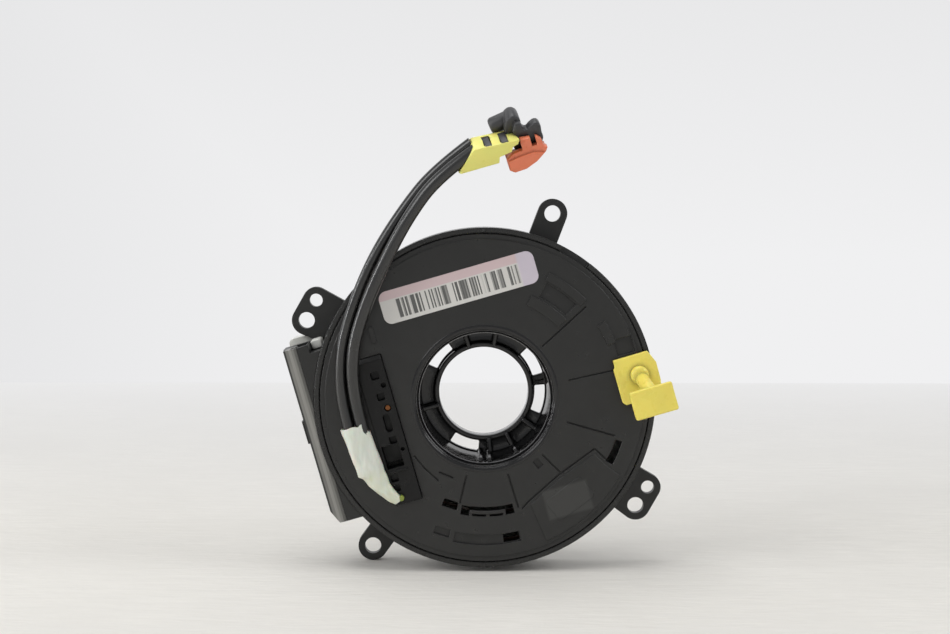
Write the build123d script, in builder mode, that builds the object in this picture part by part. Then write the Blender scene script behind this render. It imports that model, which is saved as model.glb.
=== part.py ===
"""Steering clock spring: the spiral cable unit that sits between the steering column and the steering wheel.

The unit stands on its rim and one fixing ear, so its own axes are turned by `roll` about the steering
axis, which is the Y axis. Heights are measured from the fixing plane towards the steering wheel, that is
towards -Y.
"""

import os
from math import atan2, cos, degrees, pi, radians, sin, tan

from build123d import *

# ---------------------------------------------------------------- driving dimensions, in mm and degrees
roll = 16.2  # turn of the unit about the steering axis as it stands
face_height = 22.0  # turning face above the fixing plane
case_radius = 53.0
case_wall = 1.6
case_back = 10.0  # height where the wide part of the case starts
case_step = 1.8  # how far the narrow rear part of the case is set in
rim_setback = 0.9  # front edge of the case behind the turning face
running_gap = 0.4  # between the fixed and the turning side
fit_gap = 0.1  # between pieces of one side
plate_thickness = 3.2
plate_margin = 2.0  # plate inside the ends of the connector box
collar_wall = 2.0  # inner bearing collar of the rear plate
collar_rise = 2.0  # collar above the plate
collar_drop = 1.6  # collar behind the fixing plane

disc_thickness = 2.6
disc_lip = 1.5  # width of the lower lip round the face
lip_drop = 0.5
barrel_radius = 21.8  # inside of the barrel
barrel_wall = 1.8

bore_radius = 14.3
bore_wall = 1.6
bore_length = 7.0
hub_back = -5.5  # rear end of the hub
hub_web = 2.7
hub_wall = 1.4
hub_flange_radius = 26.0
hub_edge_drop = 1.0  # front edge of the hub's wall below the face
hub_edge_taper = 1.4  # length of the taper inside that edge
hub_edge = 0.5  # thickness of the edge
hub_flange = 1.6
window_inner = 16.5
window_outer = 19.8
window_sweep = 28.0
window_angles = (14, -25, -125, 125)
fin_angles = (-52, -78, -100, 62, 92, 180)
fin_thickness = 1.3
fin_height = 9.0
wall_ribs = ((-109.5, 20.0), (-101.5, 20.0), (-76.5, 18.0))  # angle and height of ribs along the wall
wall_rib_depth = 1.2

ear_circle = 61.0  # radius of the circle through all fixing holes
ear_angles = (53.0, 141.75, 218.25, 307.0)
ear_partners = {141.75: 135.1, 307.0: 313.6}  # ear angle to the angle of its smaller locating hole
ear_radius = 4.7
partner_radius = 4.2
ear_root = 50.0
ear_hole = 2.6
partner_hole = 2.1

ribbon_turns = 5
ribbon_thickness = 0.8
ribbon_clearance = 0.8  # above the collar and below the switch socket
ribbon_inner_gap = 1.8  # innermost turn outside the barrel
ribbon_outer_gap = 1.0  # outermost turn inside the case
sheet_thickness = 0.4
sheet_gap = 0.5  # round the sheet, inside and outside

box_overhang = 3.2  # connector cover beyond the case, to the left
box_top = 31.2
box_bottom = -25.0
box_front = 20.8
box_flange = 0.5  # rear flange of the box beyond the cover
box_flange_height = 12.0
cover_width = 4.4  # light strip that closes the left side of the box
bevel_width = 3.4
bevel_drop = 1.8
cover_corner = 4.0  # cut lower corner of the cover
latch_bump = (0.9, 7.4)  # latch on the left side of the box
latch_bump_y = 4.2
plug_mouth_depth = 8.0
socket_wall = 1.3
connector_width = 10.6
connector_length = 54.0
connector_drop = 10.0
connector_middle = 6.0
connector_round = 1.5
socket_round = 0.8
pin_side = 0.8
pin_length = 4.0
pin_pitch = 4.0
pin_count = 11
pin_rows = 3.0  # distance of the two rows
key_size = (3.6, 3.0)  # pale key beside the upper end of the box
key_at = (-46.3, 30.1)
key_height = 8.0
key_round = 0.9
end_pocket = (3.8, 13.0)  # hollow in the upper end of the box
end_pocket_at = -50.8
end_pocket_depth = 8.0

panel_left = -35.6
panel_right = -27.2
panel_top = 22.4
panel_bottom = -24.2
panel_rise = 1.8  # switch socket above the turning face
panel_depth = 6.0  # switch socket below the turning face
panel_bevel = 1.4  # bevel along its upper end
pocket_depth = 6.0
pocket = (5.4, 7.3)
pocket_at = (-32.3, -9.1)
pocket_pin_pitch = 1.3
pocket_pin_count = 4
key_holes = (
    (-30.7, 16.5, 2.5),
    (-30.7, 9.7, 2.3),
    (-30.8, -4.2, 2.3),
    (-33.7, -15.8, 2.4),
    (-33.9, -19.0, 2.2),
)
peg_holes = ((-28.9, 13.0, 0.8), (-29.6, 5.8, 1.1), (-28.7, -7.7, 0.6))
key_slot = (5.8, 2.1)
key_slot_at = (-30.9, 1.3)
panel_rib = (6.4, 0.6)  # low rib below the pocket
panel_rib_at = (-32.2, -13.8)
contact_radius = 0.8

# Details of the turning face. Angles are about the steering axis.
seam_width = 0.5
seam_depth = 0.6
radial_seams = (  # angle, inner and outer radius
    (26.5, 23.9, 42.3),
    (-3.5, 26.6, 41.0),
    (-32.0, 26.5, 42.0),
    (-60.5, 25.0, 33.0),
    (-89.0, 24.6, 35.6),
    (-119.5, 24.6, 33.6),
)
straight_seams = (  # both ends of each run
    ((1.6, -36.2), (4.2, -34.6)),
    ((4.2, -34.6), (15.9, -29.0)),
    ((15.9, -29.0), (28.4, -24.4)),
    ((28.4, -24.4), (31.4, -29.4)),
    ((-26.0, -11.0), (-24.2, -15.3)),
    ((-24.2, -15.3), (-20.9, -20.6)),
    ((-19.9, -18.0), (-16.2, -21.0)),
)
raised_bands = (  # inner and outer radius, first and last angle
    (31.8, 35.2, 28.5, 50.0),
    (41.2, 43.9, 28.5, 47.0),
    (41.5, 44.2, 7.5, 17.0),
)
sunk_bands = (
    (35.9, 40.6, 30.0, 46.0),
    (42.6, 45.8, -118.5, -91.5),
    (42.4, 44.8, -127.0, -120.5),
    (24.7, 27.5, -69.0, -64.5),
)
open_slots = (
    (33.9, 35.0, -118.0, -91.5),
    (35.0, 36.9, -118.0, -113.8),
    (35.0, 36.9, -95.7, -91.5),
    (36.1, 36.8, -112.3, -105.4),
    (36.1, 36.8, -103.6, -97.2),
    (33.4, 35.9, -128.0, -120.3),
    (42.9, 45.5, -98.5, -92.0),
    (42.3, 44.7, -43.5, -33.5),
)
latch_tongue = (35.0, 36.1, -113.8, -95.7)
band_rise = 0.5
sunk_depth = 0.9
tongue_rise = 0.4
lower_panel = ((4.6, -35.8), (15.9, -30.2), (27.9, -25.9), (30.4, -30.4), (33.6, -34.6))
lower_panel_radius = 48.4
lower_panel_rise = 0.4
patch_size = (13.4, 7.8)
patch_at = (16.8, -37.3)
patch_turn = 21.0
patch_round = 1.0
patch_rise = 0.15
clip_recess = (5.6, 5.2)
clip_recess_at = (46.0, 3.9)
rib_bump = (1.5, 5.0)
rib_bump_at = (-28.0, 28.7)
rim_marks = (94.9, 74.2)  # short ribs across the rim
rim_mark_width = 0.8
rim_mark_rise = 0.5
rim_gap = (36.0, 47.0)  # opening in the front edge of the case, next to the upper ear
rim_gap_depth = 4.5
rim_gap_inset = 0.6  # opening inside the wall of the case

hook_angles = (5.0, 100.0, 262.0, 340.0)  # snap hooks round the back of the case
hook_width = 7.0
hook_height = 5.0
hook_depth = 0.9
rib_count = 12  # stiffening ribs on the back of the rear plate
rib_rise = 0.9
rib_thickness = 1.2
rib_ring = (34.0, 44.5)

clip_base = 1.7
clip_gap = 0.3
clip_inset = 7.5  # clip's reference point inside the rim of the case
clip_y = -8.0
clip_tongue = (3.6, 5.0)
clip_tongue_at = (45.0, -7.0)
clip_tongue_reach = 0.2  # tongue below the turning disc
clip_stem = (3.2, 4.6)
clip_stem_at = (48.6, -7.8)
clip_grip = (13.5, 9.0)
clip_grip_at = (49.2, -11.6)
clip_grip_thickness = 2.0
clip_outline = (
    (-4.0, -6.0), (9.2, -6.0), (9.2, 4.7), (7.5, 8.5), (-3.3, 8.5), (-3.3, 4.5), (-4.0, 4.5),
)
clip_round = 0.9
clip_edge = 0.4

clip_reach = 10.0  # grip above the base

label_size = (49.5, 10.3)
label_at = (1.75, 35.45)
label_thickness = 0.15
label_corner = 2.5

sleeve_size = (8.9, 5.7)
sleeve_wall = 0.4
sleeve_end = (-40.82, 3.48)  # centre of its upper end
sleeve_heading = 90.9
sleeve_length = 16.5
sleeve_mouth = 12.0
sleeve_rise = 3.2  # lead's centreline above the turning face
# Tapering sleeve below it: x, y, rise above the face, heading, half width and half thickness.
taper_stations = (
    (-39.9, -13.07, 3.2, 90.9, 3.6, 2.5),
    (-38.5, -16.9, 3.3, 112.0, 3.1, 2.2),
    (-36.8, -20.2, 3.8, 128.0, 2.3, 1.8),
    (-34.9, -22.6, 4.1, 140.0, 1.2, 1.1),
)
gland_radius = 0.85
gland_at = (-33.25, -22.1)
gland_height = 2.6

thick_diameter = 4.0
thin_diameter = 3.6
# Route of each tube: X, rise above the turning face, Z.
thick_route = [
    (-35.69, 3.2, -15.97),
    (-40.1, 3.6, -1.63),
    (-41.0, 6.1, 14.44),
    (-37.0, 7.03, 28.74),
    (-30.8, 8.0, 42.6),
    (-23.6, 8.9, 56.4),
    (-14.6, 9.2, 68.6),
    (-3.4, 8.76, 76.6),
]
thin_route = [
    (-39.35, 3.2, -17.34),
    (-43.98, 2.95, -2.98),
    (-44.7, 3.4, 14.22),
    (-40.5, 4.7, 29.4),
    (-34.1, 5.1, 44.45),
    (-25.3, 4.65, 58.4),
    (-15.6, 4.3, 70.6),
    (-4.4, 6.39, 78.9),
]

plug_origin = (-3.57, 12.5, 76.59)  # front upper left corner of the plug: X, rise above the face, Z
plug_pitch = 30.0  # how far the plug leans towards the front
plug_depth = 7.8
plug_fit = 0.1
# Outlines on the front of the plug, from its upper left corner.
housing_outline = (
    (0, 0), (13.8, -1.0), (13.1, -2.2), (11.4, -2.7), (10.7, -4.2), (6.8, -4.8), (6.2, -6.7),
    (-5.8, -6.7), (-6.4, -6.1),
)
window_size = (2.4, 5.6)
window_places = (4.3, 9.3)
window_depth = 3.6
nose_outline = (
    (11.0, 0.1), (11.5, 2.9), (12.9, 4.9), (14.3, 5.4), (15.4, 4.7), (15.9, 2.2), (16.5, -1.2),
    (17.6, -2.0), (19.4, -0.5), (20.9, -0.2), (21.5, -2.4), (21.7, -5.4), (20.8, -6.8),
    (17.3, -6.2), (14.9, -5.0), (14.0, -2.0), (12.8, 0.1),
)
nose_depth = 5.0
nose_round = 0.9
lobe_start = (6.9, 2.3)
lobe_end = (11.2, 3.9)
lobe_radius = 2.1
lock_outline = (
    (14.0, -1.6), (14.0, -5.4), (10.9, -5.7), (8.7, -7.2), (8.7, -10.9), (10.0, -12.0),
    (13.9, -11.8), (17.6, -10.3), (20.8, -7.9), (21.6, -6.6), (20.4, -5.5), (20.4, -3.7),
    (19.3, -2.2),
)
lock_slot = (1.6, 3.4)
lock_slot_at = (17.9, -3.2)
lock_front = 1.0  # lock behind the front of the plug
lock_depth = 5.6
lock_flange = (
    (9.0, -7.6), (9.0, -10.8), (10.2, -11.7), (13.8, -11.5), (17.4, -10.0), (20.3, -7.8),
    (17.0, -6.6), (12.0, -7.0),
)
lock_flange_rise = 0.7

# ---------------------------------------------------------------- worked out from the above
case_front = face_height - rim_setback
case_inner = case_radius - case_wall
disc_radius = case_inner - running_gap
shelf_height = face_height - disc_thickness - running_gap
rear_radius = case_radius - case_step
rear_inner = rear_radius - case_wall
barrel_outer = barrel_radius + barrel_wall
collar_radius = barrel_outer + running_gap
hub_outer = barrel_radius - fit_gap
hub_flange_front = -collar_drop - running_gap
ribbon_low = plate_thickness + collar_rise + ribbon_clearance
ribbon_high = face_height - panel_depth - ribbon_clearance
ribbon_inner = barrel_outer + ribbon_inner_gap
ribbon_outer = rear_inner - ribbon_outer_gap - ribbon_thickness
box_left = case_radius + box_overhang
box_floor = plate_thickness
sleeve_height = face_height + sleeve_rise
clip_tongue_end = shelf_height + clip_tongue_reach
cover_left = -box_left
box_right = cover_left + cover_width
panel_width = panel_right - panel_left
panel_length = panel_top - panel_bottom
panel_centre = ((panel_left + panel_right) / 2, (panel_top + panel_bottom) / 2)

unit_right = (cos(radians(roll)), 0, sin(radians(roll)))
frame = Plane(origin=(0, 0, 0), x_dir=unit_right, z_dir=(0, -1, 0))


def level(height):
    """The plane across the steering axis at this height, in the unit's own axes."""
    return frame.offset(height)


def across(y):
    """The plane with the unit's X to the right and heights upward, looking along its +Y, at this y."""
    return Plane(origin=frame.from_local_coords((0, y, 0)), x_dir=frame.x_dir, z_dir=-frame.y_dir)


def polar(radius, angle):
    """Point at this radius and angle about the steering axis."""
    return (radius * cos(radians(angle)), radius * sin(radians(angle)))


def ring_sector(inner, outer, start, stop, mode=Mode.ADD):
    """Sector of a ring about the steering axis, in the sketch in hand."""
    with BuildLine() as outline:
        low = CenterArc((0, 0), inner, start, stop - start)
        high = CenterArc((0, 0), outer, start, stop - start)
        Line(low @ 0, high @ 0)
        Line(low @ 1, high @ 1)
    make_face(outline.edges(), mode=mode)


def outline_face(points, mode=Mode.ADD):
    """Straight-sided face through these points, in the sketch in hand."""
    with BuildLine() as outline:
        Polyline(*points, close=True)
    make_face(outline.edges(), mode=mode)


def seam(start, end, width):
    """Thin rectangle from one point to another, in the sketch in hand."""
    run = Vector(*end) - Vector(*start)
    with Locations(((start[0] + end[0]) / 2, (start[1] + end[1]) / 2)):
        Rectangle(run.length, width, rotation=degrees(atan2(run.Y, run.X)))


def section(points):
    """Half section of a turned piece from (radius, height) points, in the sketch in hand."""
    with BuildLine() as outline:
        Polyline(*[(radius, -height) for radius, height in points], close=True)
    make_face(outline.edges())


# ---------------------------------------------------------------- fixed side
with BuildPart() as rear_plate:
    with BuildSketch(level(0)):
        Circle(rear_radius)
        with Locations(((cover_left - rear_inner / 2) / 2, (box_top + box_bottom) / 2)):
            Rectangle(box_left - rear_inner / 2, box_top - box_bottom - 2 * plate_margin)
        Circle(collar_radius + collar_wall / 2, mode=Mode.SUBTRACT)
    extrude(amount=plate_thickness)
    for angle in ear_angles:
        with BuildSketch(level(0)):
            with Locations(polar(ear_circle, angle), polar(ear_root, angle)):
                Circle(ear_radius)
            if angle in ear_partners:
                with Locations(polar(ear_circle, ear_partners[angle]), polar(ear_root, ear_partners[angle])):
                    Circle(partner_radius)
            make_hull()
        extrude(amount=plate_thickness)
    with BuildSketch(Plane.XY):
        section(
            [
                (collar_radius, -collar_drop),
                (collar_radius + collar_wall, -collar_drop),
                (collar_radius + collar_wall, plate_thickness + collar_rise),
                (collar_radius, plate_thickness + collar_rise),
            ]
        )
    revolve(axis=Axis.Y)
    with BuildSketch(level(0)):
        with Locations(*[polar(ear_circle, angle) for angle in ear_angles]):
            Circle(ear_hole)
        with Locations(*[polar(ear_circle, angle) for angle in ear_partners.values()]):
            Circle(partner_hole)
    extrude(amount=plate_thickness, mode=Mode.SUBTRACT)
    # stiffening ribs on the back and snap hooks round the case
    with BuildSketch(level(0)):
        for radius in reversed(rib_ring):
            Circle(radius + rib_thickness / 2)
            Circle(radius - rib_thickness / 2, mode=Mode.SUBTRACT)
        for index in range(rib_count):
            angle = 360 * (index + 0.5) / rib_count
            seam(polar(rib_ring[0], angle), polar(rib_ring[1], angle), rib_thickness)
    extrude(amount=-rib_rise)
    hook_half = degrees(hook_width / 2 / rear_radius)
    hook_inner = rear_radius + fit_gap
    with BuildSketch(level(0)):
        for angle in hook_angles:
            ring_sector(rear_inner, hook_inner + hook_depth, angle - hook_half, angle + hook_half)
    extrude(amount=plate_thickness)
    with BuildSketch(level(plate_thickness)):
        for angle in hook_angles:
            ring_sector(hook_inner, hook_inner + hook_depth, angle - hook_half, angle + hook_half)
    extrude(amount=hook_height)
rear_plate.part.label = "rear_plate"

with BuildPart() as case_ring:
    with BuildSketch(Plane.XY):
        section(
            [
                (rear_inner, plate_thickness),
                (rear_radius, plate_thickness),
                (rear_radius, case_back),
                (case_radius, case_back),
                (case_radius, case_front),
                (case_inner, case_front),
                (case_inner, shelf_height),
                (rear_inner, shelf_height),
            ]
        )
    revolve(axis=Axis.Y)
    with BuildSketch(level(case_front)):
        ring_sector(case_inner - rim_gap_inset, case_radius + fit_gap, *rim_gap)
    extrude(amount=-rim_gap_depth, mode=Mode.SUBTRACT)
    with BuildSketch(level(case_front)):
        for angle in rim_marks:
            seam(polar(case_inner + fit_gap, angle), polar(case_radius - fit_gap, angle), rim_mark_width)
    extrude(amount=rim_mark_rise)
case_ring.part.label = "case_ring"

with BuildPart() as connector_box:
    with BuildSketch(level(box_floor)):
        with Locations(((box_right - rear_inner / 2) / 2, (box_top + box_bottom) / 2)):
            Rectangle(-box_right - rear_inner / 2, box_top - box_bottom)
        key_corner = (key_at[0] - key_size[0] / 2 - fit_gap, key_at[1] - key_size[1] / 2 - fit_gap)
        with Locations(key_corner):
            Rectangle(case_radius, case_radius, align=(Align.MIN, Align.MIN), mode=Mode.SUBTRACT)
        Circle(case_radius + fit_gap, mode=Mode.SUBTRACT)
    extrude(amount=box_front - box_floor)
    with BuildSketch(level(box_floor)):
        flange_left = cover_left - box_flange
        with Locations(((flange_left + box_right) / 2, (box_top + box_bottom + cover_corner) / 2)):
            Rectangle(box_right - flange_left, box_top - box_bottom - cover_corner)
        with Locations((flange_left - latch_bump[0] / 2, latch_bump_y)):
            Rectangle(latch_bump[0], latch_bump[1])
        Circle(case_radius + fit_gap, mode=Mode.SUBTRACT)
    extrude(amount=box_flange_height - box_floor)
    with BuildSketch(across(box_top)):
        with Locations((end_pocket_at, (box_floor + box_front) / 2)):
            Rectangle(end_pocket[0], end_pocket[1])
    extrude(amount=end_pocket_depth, mode=Mode.SUBTRACT)
connector_box.part.label = "connector_box"

with BuildPart() as connector_cover:
    with BuildSketch(across(box_top)):
        outline_face(
            [
                (cover_left, box_flange_height),
                (cover_left, box_front - bevel_drop),
                (cover_left + bevel_width, box_front),
                (box_right - fit_gap, box_front),
                (box_right - fit_gap, box_flange_height),
            ]
        )
    extrude(amount=box_top - box_bottom)
    with BuildSketch(level(box_flange_height)):
        outline_face(
            [
                (cover_left, box_bottom + cover_corner),
                (cover_left + cover_corner / 2, box_bottom),
                (cover_left, box_bottom),
            ]
        )
        Circle(case_radius + fit_gap)
    extrude(amount=box_front - box_flange_height, mode=Mode.SUBTRACT)
    with BuildSketch(across(box_top)):
        with Locations((box_right, (box_flange_height + box_front) / 2)):
            Rectangle(cover_width, box_front - box_flange_height - 2 * bevel_drop)
    extrude(amount=end_pocket_depth, mode=Mode.SUBTRACT)
connector_cover.part.label = "connector_cover"

with BuildPart() as box_key:
    with BuildSketch(level(box_floor)):
        with Locations(key_at):
            RectangleRounded(key_size[0], key_size[1], key_round)
    extrude(amount=key_height)
    fillet(box_key.faces().sort_by(Axis.Y)[0].edges(), key_round / 2)
box_key.part.label = "box_key"

with BuildPart() as stator_connector:
    connector_x = cover_left + connector_width / 2 + box_flange
    with BuildSketch(level(-connector_drop)):
        with Locations((connector_x, connector_middle)):
            RectangleRounded(connector_width, connector_length, connector_round)
    extrude(amount=connector_drop)
    with BuildSketch(level(-connector_drop)):
        with Locations((connector_x, connector_middle)):
            RectangleRounded(
                connector_width - 2 * socket_wall, connector_length - 2 * socket_wall, socket_round
            )
    extrude(amount=plug_mouth_depth, mode=Mode.SUBTRACT)
stator_connector.part.label = "stator_connector"

with BuildPart() as stator_pins:
    with BuildSketch(level(plug_mouth_depth - connector_drop)):
        with Locations((connector_x, connector_middle)):
            with GridLocations(pin_rows, pin_pitch, 2, pin_count):
                Rectangle(pin_side, pin_side)
    extrude(amount=-pin_length)
stator_pins.part.label = "stator_pins"

with BuildPart() as glide_sheet:
    with BuildSketch(level(plate_thickness)):
        Circle(rear_inner - sheet_gap)
        Circle(collar_radius + collar_wall + sheet_gap, mode=Mode.SUBTRACT)
    extrude(amount=sheet_thickness)
glide_sheet.part.label = "glide_sheet"

# ---------------------------------------------------------------- turning side
with BuildPart() as rotor_disc:
    with BuildSketch(Plane.XY):
        section(
            [
                (barrel_radius, hub_flange_front),
                (barrel_outer, hub_flange_front),
                (barrel_outer, face_height - disc_thickness),
                (disc_radius, face_height - disc_thickness),
                (disc_radius, face_height - lip_drop),
                (disc_radius - disc_lip, face_height - lip_drop),
                (disc_radius - disc_lip, face_height),
                (barrel_radius, face_height),
            ]
        )
    revolve(axis=Axis.Y)
    # raised panels, bands and marks of the face
    with BuildSketch(level(face_height)):
        for inner, outer, start, stop in raised_bands:
            ring_sector(inner, outer, start, stop)
        with Locations(rib_bump_at):
            Rectangle(rib_bump[0], rib_bump[1])
    extrude(amount=band_rise)
    with BuildSketch(level(face_height)):
        ring_sector(*latch_tongue)
    extrude(amount=tongue_rise)
    with BuildSketch(level(face_height)):
        with BuildLine() as panel_edge:
            last = lower_panel[-1]
            first_angle = degrees(atan2(last[1], last[0]))
            last_angle = degrees(atan2(lower_panel[0][1], lower_panel[0][0]))
            Polyline(*lower_panel)
            rim = CenterArc((0, 0), lower_panel_radius, first_angle, last_angle - first_angle)
            Line(last, rim @ 0)
            Line(rim @ 1, lower_panel[0])
        make_face(panel_edge.edges())
    extrude(amount=lower_panel_rise)
    with BuildSketch(level(face_height)):
        with Locations(patch_at):
            RectangleRounded(patch_size[0], patch_size[1], patch_round, rotation=patch_turn)
    extrude(amount=lower_panel_rise + patch_rise)
    # seams and shallow hollows
    with BuildSketch(level(face_height)):
        for angle, inner, outer in radial_seams:
            seam(polar(inner, angle), polar(outer, angle), seam_width)
        for start, end in straight_seams:
            seam(start, end, seam_width)
    extrude(amount=-seam_depth, mode=Mode.SUBTRACT)
    with BuildSketch(level(face_height)):
        for inner, outer, start, stop in sunk_bands:
            ring_sector(inner, outer, start, stop)
        with Locations(clip_recess_at):
            Rectangle(clip_recess[0], clip_recess[1])
    extrude(amount=-sunk_depth, mode=Mode.SUBTRACT)
    # slots, the window of the switch socket and the slot of the transport clip's tongue
    with BuildSketch(level(face_height)):
        for inner, outer, start, stop in open_slots:
            ring_sector(inner, outer, start, stop)
        with Locations(panel_centre):
            Rectangle(panel_width + 2 * fit_gap, panel_length + 2 * fit_gap)
        with Locations(clip_tongue_at):
            Rectangle(clip_tongue[0] + 2 * clip_gap, clip_tongue[1] + 2 * clip_gap)
    extrude(amount=-disc_thickness, mode=Mode.SUBTRACT)
rotor_disc.part.label = "rotor_disc"

with BuildPart() as rotor_hub:
    hub_bore_top = hub_back + bore_length
    with BuildSketch(Plane.XY):
        section(
            [
                (bore_radius, hub_back),
                (bore_radius, hub_bore_top),
                (bore_radius + bore_wall, hub_bore_top),
                (bore_radius + bore_wall, hub_back + hub_web),
                (hub_outer - hub_wall, hub_back + hub_web),
                (hub_outer - hub_wall, face_height - hub_edge_drop - hub_edge_taper),
                (hub_outer - hub_edge, face_height - hub_edge_drop),
                (hub_outer, face_height - hub_edge_drop),
                (hub_outer, hub_flange_front),
                (hub_flange_radius, hub_flange_front),
                (hub_flange_radius, hub_flange_front - hub_flange),
                (hub_outer, hub_flange_front - hub_flange),
                (hub_outer, hub_back),
            ]
        )
    revolve(axis=Axis.Y)
    for angle in fin_angles:
        with BuildSketch(level(hub_back)):
            with Locations(polar((bore_radius + hub_outer) / 2, angle)):
                Rectangle(hub_outer - bore_radius - bore_wall, fin_thickness, rotation=angle)
        extrude(amount=fin_height)
    for angle, height in wall_ribs:
        with BuildSketch(level(hub_back + hub_web)):
            with Locations(polar(hub_outer - hub_wall, angle)):
                Rectangle(2 * wall_rib_depth, fin_thickness, rotation=angle)
            Circle(hub_outer - hub_wall / 2, mode=Mode.INTERSECT)
        extrude(amount=height)
    with BuildSketch(level(hub_back)):
        for angle in window_angles:
            ring_sector(window_inner, window_outer, angle - window_sweep / 2, angle + window_sweep / 2)
    extrude(amount=hub_web, mode=Mode.SUBTRACT)
rotor_hub.part.label = "rotor_hub"

# Wound flat cable: half turns about two centres, so that each meets the next in one tangent.
with BuildPart() as ribbon_cable:
    half_turns = 2 * ribbon_turns
    pitch = (ribbon_outer - ribbon_inner) / half_turns
    with BuildSketch(level(ribbon_low)):
        with BuildLine():
            for side in (0, ribbon_thickness):
                for turn in range(half_turns):
                    centre = (0, 0) if turn % 2 == 0 else (pitch, 0)
                    radius = ribbon_inner + turn * pitch + side
                    CenterArc(centre, radius, 180 * (turn % 2), 180)
            for end in (ribbon_inner, ribbon_outer):
                Line((end, 0), (end + ribbon_thickness, 0))
        make_face()
    extrude(amount=ribbon_high - ribbon_low)
ribbon_cable.part.label = "ribbon_cable"

with BuildPart() as switch_socket:
    with BuildSketch(level(face_height - panel_depth)):
        with Locations(panel_centre):
            Rectangle(panel_width, panel_length)
    extrude(amount=panel_depth + panel_rise)
    front_edges = switch_socket.faces().sort_by(Axis.Y)[0].edges()
    upper_end = max(front_edges, key=lambda edge: frame.to_local_coords(edge.center()).Y)
    chamfer(upper_end, panel_bevel)
    with BuildSketch(level(face_height + panel_rise)):
        with Locations(pocket_at):
            Rectangle(pocket[0], pocket[1])
    extrude(amount=-pocket_depth, mode=Mode.SUBTRACT)
    with BuildSketch(level(face_height + panel_rise)):
        for x, y, side in key_holes:
            with Locations((x, y)):
                RectangleRounded(side, side, side / 5)
        for x, y, radius in peg_holes:
            with Locations((x, y)):
                Circle(radius)
        with Locations(key_slot_at):
            SlotOverall(key_slot[0], key_slot[1], rotation=90)
    extrude(amount=-pocket_depth / 2, mode=Mode.SUBTRACT)
    with BuildSketch(level(face_height + panel_rise)):
        with Locations(panel_rib_at):
            Rectangle(panel_rib[0], panel_rib[1])
    extrude(amount=panel_rib[1])
switch_socket.part.label = "switch_socket"

with BuildPart() as socket_pins:
    with BuildSketch(level(face_height + panel_rise - pocket_depth)):
        with Locations((pocket_at[0], pocket_at[1] - pocket[1] / 2 + pin_side)):
            with GridLocations(pocket_pin_pitch, 1, pocket_pin_count, 1):
                Rectangle(pin_side, pin_side)
    extrude(amount=pocket_depth / 4)
    with BuildSketch(level(face_height + panel_rise - pocket_depth / 2)):
        with Locations(peg_holes[1][:2]):
            Circle(contact_radius)
    extrude(amount=pocket_depth / 3)
socket_pins.part.label = "socket_pins"

with BuildPart() as label:
    with BuildSketch(level(face_height)):
        with Locations(label_at):
            RectangleRounded(label_size[0], label_size[1], label_corner)
    extrude(amount=label_thickness)
label.part.label = "label"


def station(x, y, height, heading):
    """Plane across a lead that runs over the face at this heading in the unit's own axes."""
    along = frame.from_local_coords(Vector(cos(radians(heading)), sin(radians(heading)), 0))
    centre = frame.from_local_coords((x, y, height))
    return Plane(origin=centre, x_dir=along.cross(Vector(0, -1, 0)), z_dir=along)


with BuildPart() as upper_sleeve:
    sleeve_mouth_plane = station(*sleeve_end, sleeve_height, sleeve_heading)
    with BuildSketch(sleeve_mouth_plane):
        SlotOverall(sleeve_size[0], sleeve_size[1])
    extrude(amount=-sleeve_length)
    with BuildSketch(sleeve_mouth_plane):
        SlotOverall(sleeve_size[0] - 2 * sleeve_wall, sleeve_size[1] - 2 * sleeve_wall)
    extrude(amount=-sleeve_mouth, mode=Mode.SUBTRACT)
upper_sleeve.part.label = "upper_sleeve"

with BuildPart() as lower_sleeve:
    for x, y, rise, heading, half_width, half_height in taper_stations:
        with BuildSketch(station(x, y, face_height + rise, heading)):
            Ellipse(half_width, half_height)
    loft()
lower_sleeve.part.label = "lower_sleeve"

with BuildPart() as lead_gland:
    with BuildSketch(level(face_height + panel_rise)):
        with Locations(gland_at):
            Circle(gland_radius)
    extrude(amount=gland_height)
    fillet(lead_gland.faces().sort_by(Axis.Y)[0].edges(), gland_radius / 2)
lead_gland.part.label = "lead_gland"


def lead_tube(route, diameter, name):
    """Tube along straight runs joined by the largest tangent arcs that the runs allow."""
    points = [Vector(x, -face_height - rise, z) for x, rise, z in route]
    runs = [b - a for a, b in zip(points, points[1:])]
    radii = []
    for before, after in zip(runs, runs[1:]):
        turn = before.get_angle(after)
        radii.append(0.45 * min(before.length, after.length) / tan(radians(turn / 2)))
    print(name, "arc radii", [round(radius, 1) for radius in radii])
    with BuildPart() as tube:
        with BuildLine():
            path = FilletPolyline(*points, radius=radii)
        with BuildSketch(Plane(origin=path @ 0, z_dir=path % 0)):
            Circle(diameter / 2)
        sweep(path=path)
    expected = pi * diameter**2 / 4 * path.length
    print(name, "length", round(path.length, 2), "volume", round(tube.part.volume), "of", round(expected))
    return tube.part


lead_thick = lead_tube(thick_route, thick_diameter, "lead_thick")
lead_thick.label = "lead_thick"
lead_thin = lead_tube(thin_route, thin_diameter, "lead_thin")
lead_thin.label = "lead_thin"

# ---------------------------------------------------------------- plug at the end of the lead
plug_x = frame.x_dir
plug_up = frame.y_dir * cos(radians(plug_pitch)) + Vector(0, -1, 0) * sin(radians(plug_pitch))
plug_front = Plane(
    origin=(plug_origin[0], -face_height - plug_origin[1], plug_origin[2]),
    x_dir=plug_x,
    z_dir=plug_x.cross(plug_up),
)  # local x along the plug, y up its front, z towards the viewer

with BuildPart() as plug_housing:
    with BuildSketch(plug_front):
        outline_face(housing_outline)
    extrude(amount=-plug_depth)
    with BuildSketch(Plane(origin=plug_front.origin, x_dir=plug_x, z_dir=plug_up)):
        with Locations(*[(x, plug_depth / 2) for x in window_places]):
            Rectangle(window_size[0], window_size[1])
    extrude(amount=-window_depth, mode=Mode.SUBTRACT)
plug_housing.part.label = "plug_housing"

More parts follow.
